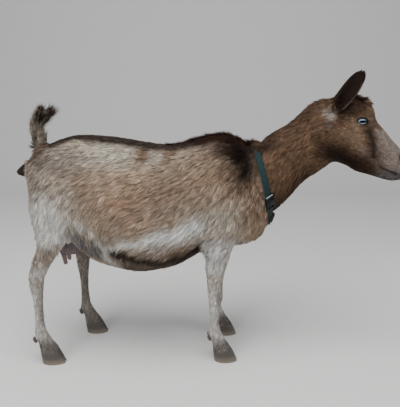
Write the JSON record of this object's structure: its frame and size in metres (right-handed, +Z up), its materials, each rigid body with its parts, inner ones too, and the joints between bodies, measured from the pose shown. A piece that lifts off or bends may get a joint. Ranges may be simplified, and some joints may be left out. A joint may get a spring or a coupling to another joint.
{
  "type": "nigerian dwarf goat",
  "caption": "Life-size still model of a standing miniature dairy goat doe with a shaded brown coat, upright ears, raised tail and a webbing collar.",
  "frame": {"origin": "on the floor under the middle of the whole model's bounding box, measured along and across the goat", "axes": "+X towards the head, +Y towards the goat's left, +Z up"},
  "size_m": [0.9438, 0.2802, 0.6943],
  "materials": {
    "coat": "short fur",
    "face_coat": "short dark fur",
    "udder_skin": "bare skin",
    "horn": "dull hoof horn",
    "eye": "wet and glossy",
    "webbing": "woven nylon webbing",
    "plastic": "semi-gloss moulded plastic"
  },
  "bodies": {
    "root": {"claw_fore_left_inner": "horn", "claw_fore_left_outer": "horn", "claw_fore_right_inner": "horn", "claw_fore_right_outer": "horn", "claw_hind_left_inner": "horn", "claw_hind_left_outer": "horn", "claw_hind_right_inner": "horn", "claw_hind_right_outer": "horn", "collar": "webbing", "collar_buckle": "plastic", "ear_left": "face_coat", "ear_right": "face_coat", "eye_left": "eye", "eye_right": "eye", "head": "face_coat", "leg_fore_left": "coat", "leg_fore_right": "coat", "leg_hind_left": "coat", "leg_hind_right": "coat", "neck": "coat", "tail": "face_coat", "torso": "coat", "udder": "udder_skin"}
  },
  "joints": []
}
